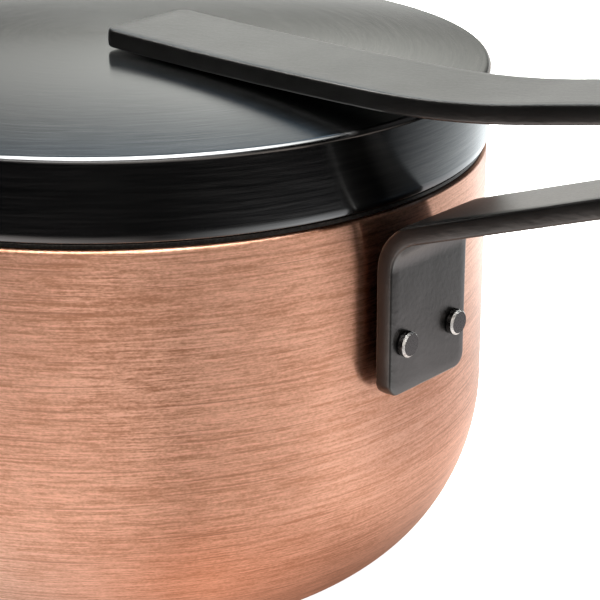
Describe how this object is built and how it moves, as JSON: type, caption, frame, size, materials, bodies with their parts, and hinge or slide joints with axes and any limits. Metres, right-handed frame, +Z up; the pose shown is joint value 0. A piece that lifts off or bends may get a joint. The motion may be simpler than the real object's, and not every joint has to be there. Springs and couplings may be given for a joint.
{
  "type": "saute pan with lid",
  "caption": "Deep copper pan with a rounded base, a flat black bar handle and a lift-off black steel lid with a matching bar handle.",
  "frame": {"origin": "centre of the base plate's flat underside, where the pan stands", "axes": "+Z up, +X out along both handles"},
  "size_m": [0.3093, 0.16, 0.142],
  "materials": {
    "copper": "satin copper, brushed in circles",
    "steel": "brushed",
    "black_steel": "black, brushed in circles",
    "dark_steel": "darkened, satin",
    "black_coating": "satin black, finely textured"
  },
  "bodies": {
    "pan": {"copper_shell": "copper", "steel_lining": "dark_steel", "base_plate": "steel", "pan_handle": "black_coating", "rivet_1": "dark_steel", "rivet_2": "dark_steel"},
    "lid": {"lid_cover": "black_steel", "lid_locating_ring": "steel", "lid_handle": "black_coating", "lid_screw_1": "steel", "lid_screw_2": "steel", "lid_washer_1": "steel", "lid_washer_2": "steel"}
  },
  "joints": [
    {"name": "lid_lift", "type": "slide", "parent": "pan", "child": "lid", "axis": [0, 0, 1], "range_m": [0, 0.2]}
  ]
}
